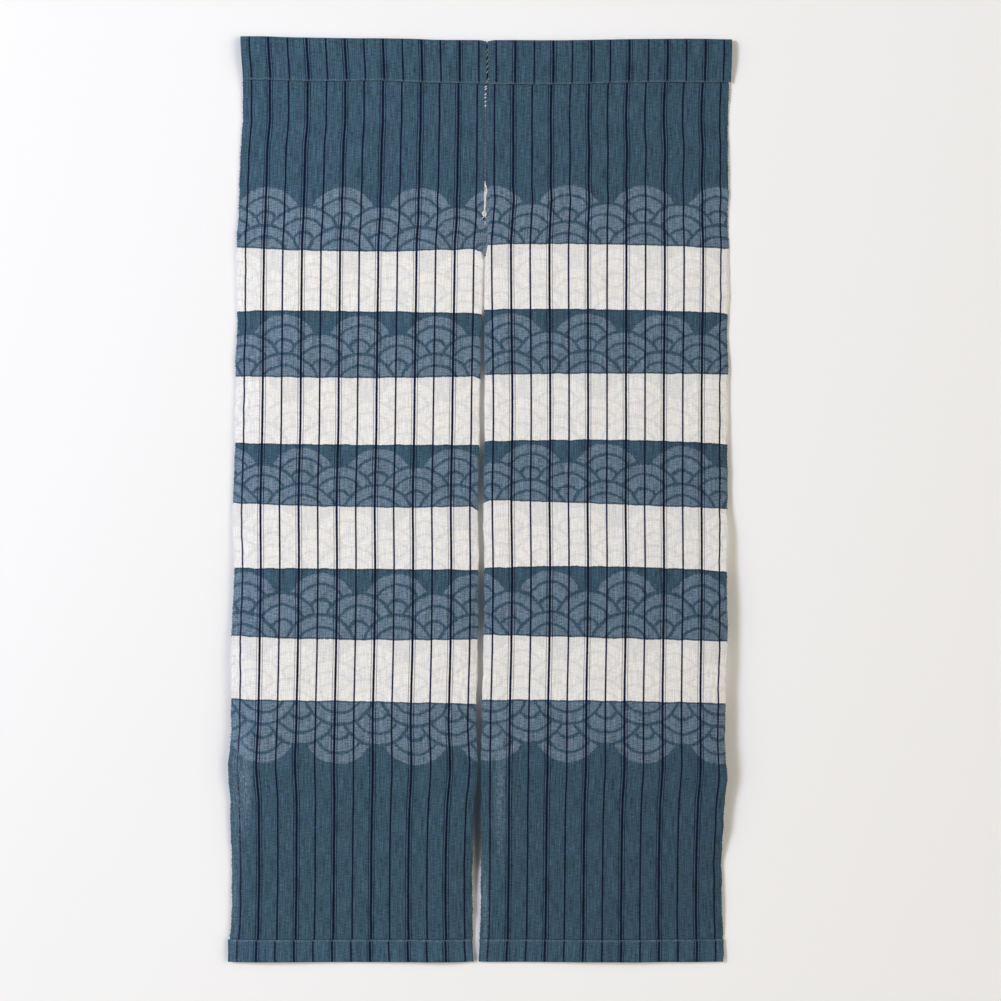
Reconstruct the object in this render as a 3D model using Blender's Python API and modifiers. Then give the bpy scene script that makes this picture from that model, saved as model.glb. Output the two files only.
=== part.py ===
"""Noren: a split door curtain of two narrow-loom cotton panels, seen from its reverse.

The two panels hang side by side, sewn edge to edge at the top and open as a slit below. Each is one
length of cloth. Its top is turned over towards the viewer as a rod pocket and its foot is turned up
towards the viewer as a hem.

Frame: X to the viewer's right, Y away from the viewer, Z up. The origin is the middle of the top edge,
so that the curtain hangs from Z = 0 down to Z = -HEIGHT, and the viewer stands on the -Y side.
"""

import math

import bmesh
import bpy
import numpy as np

MM = 0.001

# Driving dimensions, in metres
HEIGHT = 1.500
THICKNESS = 1.2 * MM
HEADING_DEPTH = 68 * MM
HEM_DEPTH = 36 * MM
LAYER_GAP = 0.6 * MM
FOLD_SPACING = THICKNESS + LAYER_GAP

# Rod pocket: how far its two walls stand from the cloth's plane, behind and in front, the height of
# its round top, and the level from which it narrows to its seam
POCKET_BACK = 4.0 * MM
POCKET_FRONT = 6.0 * MM
POCKET_SHOULDER = 9 * MM
POCKET_TAPER = 31 * MM

# Edges that curl back towards the wall
CURL_WIDTH = 34 * MM

# Long soft waves across each panel, which grow towards the foot
WAVE_LENGTH = 270 * MM
WAVE_DEPTH = 2.2 * MM
WAVE_START = 0.15
WAVE_GROWTH = 1.0

# Hanging form, a row for each level. down is in metres below the top edge, the rest in millimetres:
# left and right are the outer edges, slit is the middle of the join or slit and slit_width its opening,
# out is how far the cloth bows off the wall side, curl is how far its long edges turn back.
HANGING = {
    "down":       (0.000, 0.068, 0.130, 0.185, 0.235, 0.262, 0.290, 0.340, 0.620, 0.760, 0.860, 0.980,
                   1.060, 1.110, 1.178, 1.245, 1.340, 1.420, 1.465, 1.500),
    "left":       (-400, -397, -397, -402, -403, -404, -405, -407, -408, -411, -410, -411,
                   -412, -413, -417, -412, -412, -414, -415.5, -419),
    "slit":       (0, -2.2, -2.6, -2.8, -3.1, -3.2, -4.2, -7.5, -8, -10, -9, -10,
                   -12, -13, -12, -15, -16.5, -17, -17, -18),
    "slit_width": (0.3, 0.3, 0.3, 0.3, 0.6, 3.2, 0.6, 0.8, 8, 8.5, 9, 9,
                   9, 9, 5, 11, 14, 13, 11, 8),
    "right":      (398, 394, 391, 394, 392, 393, 393, 395, 391, 391, 391, 389,
                   388, 388, 389, 384, 382, 382, 383, 384),
    "out":        (0, 0, 0, 0.5, 1, 1.5, 2, 3, 10, 13, 17, 22,
                   25, 26, 24, 19, 12, 7, 4, 3),
    "curl":       (0, 0.3, 0.5, 0.5, 0.5, 0.5, 0.6, 1, 3, 3.5, 4, 5,
                   6, 6, 3, 6, 6, 3, 1, 0.5),
}

# Top edge, which sags towards the join: places across in metres against the drop in millimetres.
# The sag dies out over SAG_REACH below the top.
SAG_REACH = 0.5
TOP_EDGE = {
    "across": (-0.400, -0.200, 0.000, 0.200, 0.400),
    "drop":   (0.0, 3.2, 6.5, 5.0, 2.5),
}

# Both turned-over layers are stitched a little askew: their edges end beside the cloth that they lie on
HEADING_SHIFT = {
    "across": (-0.400, 0.000, 0.400),
    "shift":  (0.0, 2.7, 4.0),
}
HEM_SHIFT = {
    "across": (-0.420, -0.016, 0.384),
    "shift":  (-3.0, -1.2, 1.0),
}

# Mesh columns across a panel, as distances from its nearer edge in metres, and the rows down it
EDGE_COLUMNS = (0.0, 0.007, 0.016, 0.030, 0.055, 0.100, 0.150)
POCKET_ROWS = 6
POCKET_FOLD_ROWS = 5
CREASE_LEVELS = (1.150, 1.178, 1.206)
CREASE_CLEAR = 0.020
BODY_ROWS = 26
HEM_FOLD_ROWS = 3
HEM_ROWS = 3

# The panels, with the side of the join on which each one hangs
PANELS = {"panel_left": -1, "panel_right": 1}
PANEL_WIDTH = 0.400
INDIGO = (0.045, 0.091, 0.136)


def smooth_table(places, values):
    """A smooth curve through a short table: monotone cubic pieces, so it never overshoots a row."""
    places = np.array(places, float)
    values = np.array(values, float)
    steps = np.diff(places)
    slopes = np.diff(values) / steps
    tangents = np.zeros(len(places))
    same_way = slopes[:-1] * slopes[1:] > 0
    means = 2 * slopes[:-1] * slopes[1:] / np.where(same_way, slopes[:-1] + slopes[1:], 1)
    tangents[1:-1] = np.where(same_way, means, 0)

    def read(place):
        place = np.clip(place, places[0], places[-1])
        row = np.clip(np.searchsorted(places, place, side="right") - 1, 0, len(steps) - 1)
        t = (place - places[row]) / steps[row]
        near = values[row] * (1 + 2 * t) * (1 - t) ** 2 + values[row + 1] * (3 - 2 * t) * t ** 2
        turn = tangents[row] * t * (1 - t) ** 2 - tangents[row + 1] * t ** 2 * (1 - t)
        return near + turn * steps[row]

    return read


def hanging(column):
    return smooth_table(HANGING["down"], np.array(HANGING[column]) * MM)


LEFT_EDGE = hanging("left")
RIGHT_EDGE = hanging("right")
SLIT_MIDDLE = hanging("slit")
SLIT_WIDTH = hanging("slit_width")
BOW_OUT = hanging("out")
EDGE_CURL = hanging("curl")
TOP_DROP = smooth_table(TOP_EDGE["across"], np.array(TOP_EDGE["drop"]) * MM)
HEADING_SKEW = smooth_table(HEADING_SHIFT["across"], np.array(HEADING_SHIFT["shift"]) * MM)
HEM_SKEW = smooth_table(HEM_SHIFT["across"], np.array(HEM_SHIFT["shift"]) * MM)


def pocket_stand(down):
    """How open the rod pocket is at a level, from 0 at its seam to 1 along its upper part."""
    below = np.clip((down - POCKET_TAPER) / (HEADING_DEPTH - POCKET_TAPER), 0, 1)
    return 0.5 + 0.5 * np.cos(math.pi * below)


def cloth_path():
    """The cloth's path in a section, a row (down, depth, heading, hem) for each station.

    It runs from the heading's lower edge up the front of the rod pocket, over the top fold, down the
    back and the whole body, round the foot and up the front of the hem. depth is the station's place
    off the cloth's plane, and heading and hem are its shares of the skew of those two layers.
    """
    path = []
    top = THICKNESS / 2
    shoulders = np.linspace(HEADING_DEPTH, POCKET_SHOULDER, POCKET_ROWS)
    for down in shoulders:
        depth = FOLD_SPACING + (POCKET_FRONT - FOLD_SPACING) * pocket_stand(down)
        path.append((down, -depth, down / HEADING_DEPTH, 0))
    middle = (POCKET_BACK - POCKET_FRONT) / 2
    radius = (POCKET_BACK + POCKET_FRONT) / 2
    rise = POCKET_SHOULDER - top
    for angle in np.linspace(math.pi, 0, POCKET_FOLD_ROWS + 2)[1:-1]:
        path.append((POCKET_SHOULDER - rise * math.sin(angle), middle + radius * math.cos(angle), 0, 0))
    for down in shoulders[::-1]:
        path.append((down, POCKET_BACK * pocket_stand(down), 0, 0))

    foot = HEIGHT - THICKNESS / 2 - FOLD_SPACING / 2
    body = np.linspace(HEADING_DEPTH, foot, BODY_ROWS + 1)[1:]
    plain = [down for down in body if all(abs(down - crease) > CREASE_CLEAR for crease in CREASE_LEVELS)]
    for down in sorted(plain + list(CREASE_LEVELS)):
        path.append((down, 0, 0, 0))
    for angle in np.linspace(0, math.pi, HEM_FOLD_ROWS + 2)[1:-1]:
        depth = FOLD_SPACING / 2 * (1 - math.cos(angle))
        path.append((foot + FOLD_SPACING / 2 * math.sin(angle), -depth, 0, 0))
    for down in np.linspace(foot, HEIGHT - HEM_DEPTH, HEM_ROWS):
        path.append((down, -FOLD_SPACING, 0, (foot - down) / HEM_DEPTH))
    return np.array(path, float)


def panel_edges(panel, down):
    """The two edges of a panel at the given levels, in metres across."""
    side = PANELS[panel]
    seam = SLIT_MIDDLE(down) + side * SLIT_WIDTH(down) / 2
    if side < 0:
        return LEFT_EDGE(down), seam
    return seam, RIGHT_EDGE(down)


def column_shares():
    """Places of the mesh columns as shares of the width, close together near both edges."""
    near = np.array(EDGE_COLUMNS) / PANEL_WIDTH
    return np.concatenate([near, [0.5], 1 - near[::-1]])


def panel_points(panel):
    """The panel's surface as an array of rows along the cloth's path by columns across it.

    Across runs straight from edge to edge. Depth adds up the path's own depth, the bow of the whole
    cloth, the curl of both edges and one long wave, and the top edge's sag dies out down the cloth.
    """
    down, depth, heading, hem = (column[:, None] for column in cloth_path().T)
    low, high = panel_edges(panel, down)
    across = low + (high - low) * column_shares()[None, :]
    to_edge = np.minimum(across - low, high - across)
    curl = EDGE_CURL(down) * np.clip(1 - to_edge / CURL_WIDTH, 0, 1) ** 2
    growth = np.clip((down - WAVE_START) / WAVE_GROWTH, 0, 1)
    wave = WAVE_DEPTH * growth * np.sin(2 * math.pi * across / WAVE_LENGTH)
    sag = TOP_DROP(across) * np.clip(1 - down / SAG_REACH, 0, 1)
    x = across + HEADING_SKEW(across) * heading + HEM_SKEW(across) * hem
    y = depth - BOW_OUT(down) + curl + wave
    return np.stack([x, y, -down - sag], axis=2)


def cloth_material(name, colour):
    material = bpy.data.materials.new(name)
    material.use_nodes = True
    shader = material.node_tree.nodes["Principled BSDF"]
    shader.inputs["Base Color"].default_value = (*colour, 1)
    shader.inputs["Roughness"].default_value = 0.9
    shader.inputs["Metallic"].default_value = 0.0
    return material


def make_panel(panel, collection):
    """One panel: a grid laid on the cloth's path, made a sheet of even thickness."""
    points = panel_points(panel)
    rows, columns, _ = points.shape
    bm = bmesh.new()
    bmesh.ops.create_grid(bm, x_segments=columns - 1, y_segments=rows - 1, size=0.5)
    for vertex in bm.verts:
        column = round((vertex.co.x + 0.5) * (columns - 1))
        row = round((vertex.co.y + 0.5) * (rows - 1))
        vertex.co = points[row, column]
    mesh = bpy.data.meshes.new(panel)
    bm.to_mesh(mesh)
    bm.free()
    mesh.shade_smooth()
    mesh.materials.append(cloth_material(panel + "_cotton", INDIGO))
    sheet = bpy.data.objects.new(panel, mesh)
    collection.objects.link(sheet)
    solidify = sheet.modifiers.new("Cloth thickness", "SOLIDIFY")
    solidify.thickness = THICKNESS
    solidify.offset = 0
    solidify.use_even_offset = True
    return sheet


def main():
    for old in list(bpy.data.objects):
        bpy.data.objects.remove(old, do_unlink=True)
    collection = bpy.data.collections.new("Noren curtain")
    bpy.context.scene.collection.children.link(collection)
    for panel in PANELS:
        make_panel(panel, collection)


main()
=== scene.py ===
"""Looks of the noren: two cotton panels as thin cloth, with folds, sewing, stripes and dyed bands.

Frame: X to the viewer's right, Y away from the viewer, Z up, origin in the middle of the top edge.
Lengths are metres unless a name or a comment says millimetres.
"""

import math
from functools import partial

import bpy
import numpy as np
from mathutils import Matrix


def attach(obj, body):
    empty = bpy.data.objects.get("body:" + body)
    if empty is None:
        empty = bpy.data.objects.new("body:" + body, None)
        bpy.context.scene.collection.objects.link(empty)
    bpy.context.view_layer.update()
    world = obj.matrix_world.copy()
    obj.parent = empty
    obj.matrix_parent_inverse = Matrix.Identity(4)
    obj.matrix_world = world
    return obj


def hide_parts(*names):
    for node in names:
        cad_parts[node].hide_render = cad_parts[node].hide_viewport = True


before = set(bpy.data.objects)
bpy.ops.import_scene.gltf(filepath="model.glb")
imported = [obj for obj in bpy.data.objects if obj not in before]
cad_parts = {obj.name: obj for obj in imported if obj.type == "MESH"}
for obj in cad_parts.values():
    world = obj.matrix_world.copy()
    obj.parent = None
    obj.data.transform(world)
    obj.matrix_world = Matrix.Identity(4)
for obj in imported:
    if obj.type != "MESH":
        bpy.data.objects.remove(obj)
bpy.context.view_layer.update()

MM = 0.001

# Sizes that the solids have too
HEIGHT = 1.500
PANEL_WIDTH = 0.400
HEADING_DEPTH = 68 * MM
HEM_DEPTH = 36 * MM
POCKET_BACK = 4.0 * MM
POCKET_FRONT = 6.0 * MM
POCKET_SHOULDER = 9 * MM
POCKET_TAPER = 31 * MM
CURL_WIDTH = 34 * MM
WAVE_LENGTH = 270 * MM
WAVE_DEPTH = 2.2 * MM
WAVE_START = 0.15
WAVE_GROWTH = 1.0
SAG_REACH = 0.5

# The real cloth, and the raw edges that are turned in behind the heading and the hem
CLOTH = 0.6 * MM
LAYER = 0.85 * MM
TURNED = 1.8 * MM
HEADING_TURN_IN = 10 * MM
HEM_TURN_IN = 8 * MM
FOOT = HEIGHT - CLOTH - TURNED / 2
HEM_TOP = HEIGHT - HEM_DEPTH
HEM_FOLD = 2 * FOOT - HEM_TOP

# Hanging form, a row for each level: down in metres, the rest in millimetres, as in the solids
HANGING = {
    "down":       (0.000, 0.068, 0.130, 0.185, 0.235, 0.262, 0.290, 0.340, 0.620, 0.760, 0.860, 0.980,
                   1.060, 1.110, 1.178, 1.245, 1.340, 1.420, 1.465, 1.500),
    "left":       (-400, -397, -397, -402, -403, -404, -405, -407, -408, -411, -410, -411,
                   -412, -413, -417, -412, -412, -414, -415.5, -419),
    "slit":       (0, -2.2, -2.6, -2.8, -3.1, -3.2, -4.2, -7.5, -8, -10, -9, -10,
                   -12, -13, -12, -15, -16.5, -17, -17, -18),
    "slit_width": (0.3, 0.3, 0.3, 0.3, 0.6, 3.2, 0.6, 0.8, 8, 8.5, 9, 9,
                   9, 9, 5, 11, 14, 13, 11, 8),
    "right":      (398, 394, 391, 394, 392, 393, 393, 395, 391, 391, 391, 389,
                   388, 388, 389, 384, 382, 382, 383, 384),
    "out":        (0, 0, 0, 0.5, 1, 1.5, 2, 3, 10, 13, 17, 22,
                   25, 26, 24, 19, 12, 7, 4, 3),
    "curl":       (0, 0.3, 0.5, 0.5, 0.5, 0.5, 0.6, 1, 3, 3.5, 4, 5,
                   6, 6, 3, 6, 6, 3, 1, 0.5),
}
TOP_EDGE = {
    "across": (-0.400, -0.200, 0.000, 0.200, 0.400),
    "drop":   (0.0, 3.2, 6.5, 5.0, 2.5),
}
HEADING_SHIFT = {
    "across": (-0.400, -0.350, -0.290, 0.000, 0.400),
    "shift":  (0.0, 1.0, 2.2, 2.7, 3.4),
}

# How far the top edge and the heading's fold lie below the solids' even lines, in millimetres. The top
# edge's part fades out down to TOP_STRAY_REACH, and the fold's part fades out up the heading.
TOP_STRAY = {
    "across": (-0.391, -0.365, -0.320, -0.220, -0.170, -0.125, -0.076, -0.030, 0.037, 0.086,
               0.135, 0.232, 0.280, 0.329, 0.370, 0.390),
    "drop":   (-0.6, -0.8, 0.1, -0.3, -1.0, -1.3, -0.5, -0.9, -1.0, -0.3,
               0.0, -0.6, -0.2, 0.3, 1.3, 1.8),
}
FOLD_STRAY = {
    "across": (-0.371, -0.293, -0.254, -0.216, -0.177, -0.138, -0.099, -0.060, -0.021, 0.018,
               0.096, 0.173, 0.230, 0.290, 0.329, 0.390),
    "drop":   (1.7, 2.3, 1.8, 0.7, 0.2, 1.2, 2.3, 1.7, 2.8, 3.7,
               4.0, 3.2, 2.4, 2.2, 3.1, 2.6),
}
TOP_STRAY_REACH = 0.13
HEM_SHIFT = {
    "across": (-0.420, -0.016, 0.384),
    "shift":  (-3.0, -1.2, 1.0),
}

# How far the selvedges stray from those lines, in millimetres to the right. The join stands a little
# open in the heading, has come open between GAP_START and GAP_END, and has a kink where it ends.
INNER_STRAY = {
    "down":        (0.004, 0.030, 0.055, 0.070, 0.085, 0.234, 0.241, 0.247, 0.256, 0.266,
                    0.276, 0.284, 0.290, 0.297, 0.310, 0.322, 0.334, 0.345, 0.354, 0.364,
                    0.378, 0.400, 0.435, 0.520, 0.620),
    "panel_left":  (-1.2, -1.0, -0.4, -0.2, 0, 0, -1.3, -1.4, -0.4, 0.4,
                    -0.2, -2.8, -2.2, 0.3, 2.8, 2.9, 2.8, -1.7, 0.6, 2.6,
                    2.1, 1.7, 1.4, 0.4, 0),
    "panel_right": (0.8, 0.8, 1.2, 0.8, 0.2, 0, 2.0, 2.9, 1.5, 0.5,
                    0.4, 2.2, 2.0, 0.3, 2.8, 2.9, 2.8, 1.0, 2.5, 3.6,
                    3.4, 3.1, 1.9, 1.2, 0),
}
GAP_START = 0.234
GAP_END = 0.297
OUTER_STRAY = {
    "panel_left": {
        "down":  (0.000, 0.110, 0.170, 0.330, 0.470, 0.540, 0.620, 0.720, 0.750, 0.880,
                  0.960, 1.110, 1.160, 1.220, 1.320, 1.370, 1.420, 1.470),
        "stray": (0.8, 1.6, 2.4, 2.2, 2.8, 0.2, 0.2, 1.0, -0.8, 1.2,
                  -2.4, -0.5, 0.2, -3.3, -2.0, -0.1, 0.4, -0.7),
    },
    "panel_right": {
        "down":  (0.000, 0.060, 0.110, 0.180, 0.240, 0.320, 0.500, 0.525, 0.670, 0.745,
                  0.900, 0.960, 1.100, 1.157, 1.220, 1.280, 1.400, 1.430, 1.490),
        "stray": (-1.5, -2.0, -0.4, -3.4, -1.6, -3.7, -3.9, -1.5, -2.2, -2.0,
                  -4.2, -0.8, -3.9, -4.7, 0, -1.9, -2.5, -0.4, -1.1),
    },
}

# How far the selvedges lie behind the solids' own curl, in millimetres, which fades out inwards
INNER_EDGE_BACK = {
    "down": (0.400, 0.600, 1.000, 1.150, 1.280, 1.350, 1.400, 1.450, 1.500),
    "back": (0, -2.0, -2.0, -5.0, -5.0, 0.5, 4.0, 4.4, 3.5),
}
OUTER_EDGE_BACK = {
    "panel_left": {
        "down": (0.070, 0.130, 0.340, 0.490, 0.620, 0.800, 1.050, 1.200, 1.300, 1.400, 1.500),
        "back": (0, 2.0, 3.5, 5.5, 8.0, 10.0, 13.0, 12.0, 8.0, 4.5, 2.0),
    },
    "panel_right": {
        "down": (0.070, 0.130, 0.340, 0.490, 0.620, 0.740, 0.810, 1.010, 1.080, 1.200, 1.270,
                 1.335, 1.400, 1.465, 1.500),
        "back": (0, 2.0, 3.5, 5.0, 5.5, 5.0, -1.0, -1.0, 2.5, 0, -1.5,
                 4.5, 1.0, 3.5, 1.5),
    },
}
EDGE_BACK_REACH = 60 * MM
INNER_STRAY_REACH = 11 * MM
OUTER_STRAY_REACH = 60 * MM

# Where the dyed bands meet, in millimetres below the top edge: at each panel's left edge, middle and
# right edge. The first and last rows are the ends of the pattern, and blue and white bands take turns.
BAND_EDGES = {
    "panel_left": (
        (237, 236, 235), (342, 348, 342), (445, 445, 449), (551, 554, 551), (659, 662, 662),
        (756, 763, 762), (861, 862, 864), (971, 977, 976), (1072, 1075, 1079), (1180, 1184, 1186),
    ),
    "panel_right": (
        (232, 232, 236), (336, 336, 344), (442, 442, 449), (549, 547, 548), (657, 654, 661),
        (751, 758, 766), (861, 858, 867), (969, 974, 980), (1073, 1074, 1079), (1178, 1181, 1185),
    ),
}
BAND_COUNT = 9
BAND_HEIGHT_MM = 104
PLAIN_BAND_MM = 200

# Drips of dye beside the slit, as (band edge, how far down and how wide in millimetres, bluntness):
# bluntness 2 is a bell and 6 a tongue with a flat end
DRIPS = {
    "panel_left": ((1, 6, 9, 2), (3, 5, 6, 2), (5, 6, 7, 2)),
    "panel_right": ((1, 20, 6.5, 6), (5, 5, 6, 2)),
}
MOTIF_OFFSET = {"panel_left": 0.011, "panel_right": 0.047}
MOTIF_PITCH_MM = 124

# Soft dents and ridges: place across and down, reach across and down, all in metres, and depth in
# millimetres, which is positive away from the viewer
DENTS = (
    (-0.398, 1.190, 0.014, 0.060, 1.8),
    (-0.376, 1.200, 0.012, 0.070, -1.5),
    (-0.350, 1.130, 0.030, 0.020, -0.8),
    (-0.250, 0.640, 0.070, 0.050, 1.0),
    (-0.090, 0.880, 0.060, 0.090, -1.3),
    (-0.060, 1.230, 0.030, 0.040, 1.4),
    (0.014, 1.230, 0.012, 0.090, 1.3),
    (0.036, 1.210, 0.012, 0.080, -1.6),
    (0.150, 0.420, 0.090, 0.060, 1.1),
    (0.230, 0.980, 0.080, 0.110, -1.4),
    (0.340, 1.190, 0.040, 0.028, 1.2),
    (0.300, 0.150, 0.060, 0.040, -0.8),
)
CREASE_DOWN = 1.178
CREASE_REACH = 5 * MM
CREASE_HEIGHT = 0.7 * MM
CREASE_WAVER = 2.5 * MM
CREASE_WAVE_LENGTH = 571.2 * MM

# Pale places, partly rubbed and partly painted highlight where a panel's left edge turns to the light,
# and painted shade below nought where an edge turns away from it: place across and down, reach across
# and down, all in metres, and share
WEAR_AND_PAINTED_LIGHT = (
    (-0.402, 1.215, 0.015, 0.100, 0.45),
    (-0.387, 1.195, 0.007, 0.060, 0.55),
    (-0.409, 1.400, 0.006, 0.090, 0.40),
    (0.021, 1.215, 0.008, 0.105, 0.60),
    (-0.003, 1.405, 0.005, 0.070, 0.65),
    (-0.402, 0.800, 0.006, 0.200, 0.20),
    (-0.019, 1.245, 0.009, 0.080, -0.35),
    (-0.022, 0.900, 0.006, 0.200, -0.15),
)
# Pale line on the folds' outer edges, partly wear and partly painted highlight, and painted shade along
# the seams
FOLD_WEAR_AND_HIGHLIGHT = 0.45
SEAM_SHADE = -0.50
FOLD_REACH = 1.6 * MM

PANELS = {"panel_left": -1, "panel_right": 1}


def smooth_table(places, values):
    """A smooth curve through a short table: monotone cubic pieces, so it never overshoots a row."""
    places = np.array(places, float)
    values = np.array(values, float)
    steps = np.diff(places)
    slopes = np.diff(values) / steps
    tangents = np.zeros(len(places))
    same_way = slopes[:-1] * slopes[1:] > 0
    means = 2 * slopes[:-1] * slopes[1:] / np.where(same_way, slopes[:-1] + slopes[1:], 1)
    tangents[1:-1] = np.where(same_way, means, 0)

    def read(place):
        place = np.clip(place, places[0], places[-1])
        row = np.clip(np.searchsorted(places, place, side="right") - 1, 0, len(steps) - 1)
        t = (place - places[row]) / steps[row]
        near = values[row] * (1 + 2 * t) * (1 - t) ** 2 + values[row + 1] * (3 - 2 * t) * t ** 2
        turn = tangents[row] * t * (1 - t) ** 2 - tangents[row + 1] * t ** 2 * (1 - t)
        return near + turn * steps[row]

    return read


def millimetre_table(table, place, value):
    return smooth_table(table[place], np.array(table[value]) * MM)


LEFT_EDGE, SLIT_MIDDLE, SLIT_WIDTH, RIGHT_EDGE, BOW_OUT, EDGE_CURL = (
    millimetre_table(HANGING, "down", name) for name in HANGING if name != "down")
TOP_DROP = millimetre_table(TOP_EDGE, "across", "drop")
TOP_STRAY_DROP = millimetre_table(TOP_STRAY, "across", "drop")
FOLD_DROP = millimetre_table(FOLD_STRAY, "across", "drop")
HEADING_SKEW = millimetre_table(HEADING_SHIFT, "across", "shift")
HEM_SKEW = millimetre_table(HEM_SHIFT, "across", "shift")
INNER = {panel: millimetre_table(INNER_STRAY, "down", panel) for panel in PANELS}
OUTER = {panel: millimetre_table(OUTER_STRAY[panel], "down", "stray") for panel in PANELS}
INNER_BACK = millimetre_table(INNER_EDGE_BACK, "down", "back")
OUTER_BACK = {panel: millimetre_table(OUTER_EDGE_BACK[panel], "down", "back") for panel in PANELS}


# The cloth's form

def steps_between(start, end, step):
    """Even steps from start to end, no longer than step, without the last place."""
    count = max(2, math.ceil(abs(end - start) / step))
    return np.linspace(start, end, count + 1)[:-1]


def pocket_stand(down):
    """How open the rod pocket is: 1 down to its taper, then a cosine down to 0 at its seam."""
    below = np.clip((down - POCKET_TAPER) / (HEADING_DEPTH - POCKET_TAPER), 0, 1)
    return 0.5 + 0.5 * np.cos(math.pi * below)


def cloth_stations():
    """The cloth's path in a section, as rows (down, depth, heading, hem, along) in metres.

    From the raw edge behind the heading the path runs down to the heading's fold, up the front of the
    rod pocket, over the top, down the back and the body, round the foot, up the hem and in behind it.
    depth is the place off the cloth's plane, heading and hem the shares of those layers' skew, and
    along is the cloth's own length, which is 0 at the top fold and equals down on the body.
    """
    rows = []

    def flap_depth(down):
        return TURNED + (POCKET_FRONT - TURNED) * pocket_stand(down)

    for down in steps_between(HEADING_DEPTH - HEADING_TURN_IN, HEADING_DEPTH, 4 * MM):
        rows.append((down, LAYER - flap_depth(down), 1, 0, down - 2 * HEADING_DEPTH))
    for angle in np.linspace(0, math.pi, 6):
        down = HEADING_DEPTH + LAYER / 2 * math.sin(angle)
        depth = LAYER / 2 * (1 + math.cos(angle)) - TURNED
        rows.append((down, depth, 1, 0, -HEADING_DEPTH - (math.pi / 2 - angle) * LAYER / 2))
    for down in steps_between(HEADING_DEPTH, POCKET_SHOULDER, 3.6 * MM)[1:]:
        rows.append((down, -flap_depth(down), down / HEADING_DEPTH, 0, -down))
    middle = (POCKET_BACK - POCKET_FRONT) / 2
    radius = (POCKET_BACK + POCKET_FRONT) / 2
    rise = POCKET_SHOULDER - CLOTH
    for angle in np.linspace(math.pi, 0, 13):
        down = POCKET_SHOULDER - rise * math.sin(angle)
        share = POCKET_SHOULDER / HEADING_DEPTH * (0.5 - 0.5 * math.cos(angle)) ** 2
        along = -POCKET_SHOULDER * math.cos(math.pi - angle)
        rows.append((down, middle + radius * math.cos(angle), share, 0, along))
    for down in steps_between(POCKET_SHOULDER, HEADING_DEPTH, 3.6 * MM)[1:]:
        rows.append((down, POCKET_BACK * pocket_stand(down), 0, 0, down))
    levels = (HEADING_DEPTH, HEADING_DEPTH + 16 * MM, GAP_START, GAP_END, HEM_TOP - 14 * MM,
              HEM_TOP + 8 * MM, FOOT)
    fineness = (2 * MM, 5 * MM, 2.2 * MM, 5 * MM, 2 * MM, 4.5 * MM)
    for start, end, step in zip(levels[:-1], levels[1:], fineness):
        rows += [(down, 0, 0, 0, down) for down in steps_between(start, end, step)]
    for angle in np.linspace(0, math.pi, 8):
        down = FOOT + TURNED / 2 * math.sin(angle)
        depth = TURNED / 2 * (math.cos(angle) - 1)
        rows.append((down, depth, 0, 0, FOOT + angle * TURNED / 2))
    for down in steps_between(FOOT, HEM_TOP, 3 * MM)[1:]:
        rows.append((down, -TURNED, 0, (FOOT - down) / HEM_DEPTH, 2 * FOOT - down))
    for angle in np.linspace(0, math.pi, 6):
        down = HEM_TOP - LAYER / 2 * math.sin(angle)
        depth = LAYER / 2 * (1 - math.cos(angle)) - TURNED
        rows.append((down, depth, 0, 1, HEM_FOLD + angle * LAYER / 2))
    for down in steps_between(HEM_TOP, HEM_TOP + HEM_TURN_IN, 3 * MM)[1:]:
        rows.append((down, LAYER - TURNED, 0, 1, HEM_FOLD - HEM_TOP + down))
    return np.array(rows, float)


EDGE_COLUMNS_REACH = 12 * MM
EDGE_COLUMN_STEP = 2 * MM
MIDDLE_COLUMNS = 95


def column_places():
    """Places across a panel in metres: 2 mm apart near both selvedges and 4 mm apart between them."""
    edge = np.arange(0, EDGE_COLUMNS_REACH, EDGE_COLUMN_STEP)
    middle = np.linspace(EDGE_COLUMNS_REACH, PANEL_WIDTH - EDGE_COLUMNS_REACH, MIDDLE_COLUMNS)
    return np.concatenate([edge, middle, PANEL_WIDTH - edge[::-1]])


def panel_edges(panel, down):
    """The smooth lines of a panel's two edges at the given levels, as the solids have them."""
    seam = SLIT_MIDDLE(down) + PANELS[panel] * SLIT_WIDTH(down) / 2
    if PANELS[panel] < 0:
        return LEFT_EDGE(down), seam
    return seam, RIGHT_EDGE(down)


# Small sines along a selvedge, as (length, height), and how far the slit's ones are drawn back
EDGE_SINES = ((95 * MM, 0.45 * MM), (41 * MM, 0.35 * MM), (19 * MM, 0.16 * MM))
SLIT_DRAWN_BACK = 0.5 * MM


def edge_stray(panel, down, inner):
    """How far a selvedge strays from its smooth line: its own table, and three seeded sines on top.

    The sines grow from nothing: from 0.30 to 0.60 m down on an inner edge, where the slit opens, and
    from 0.04 to 0.14 m down on an outer one.
    """
    draw = np.random.default_rng(70 + 10 * PANELS[panel] + inner)
    stray = np.zeros(down.shape)
    for length, height in EDGE_SINES:
        stray += height * np.sin(2 * math.pi * down / length + draw.uniform(0, 2 * math.pi))
    if inner:
        drawn_back = SLIT_DRAWN_BACK * PANELS[panel]
        return INNER[panel](down) + (stray + drawn_back) * np.clip((down - 0.30) / 0.3, 0, 1)
    return OUTER[panel](down) + stray * np.clip((down - 0.04) / 0.1, 0, 1)


UNEVEN_SINES = 10
UNEVEN_LENGTHS = (70 * MM, 200 * MM)
UNEVEN_HEIGHT = 0.3 * MM
UNEVEN_STRETCH = 0.6


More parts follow.
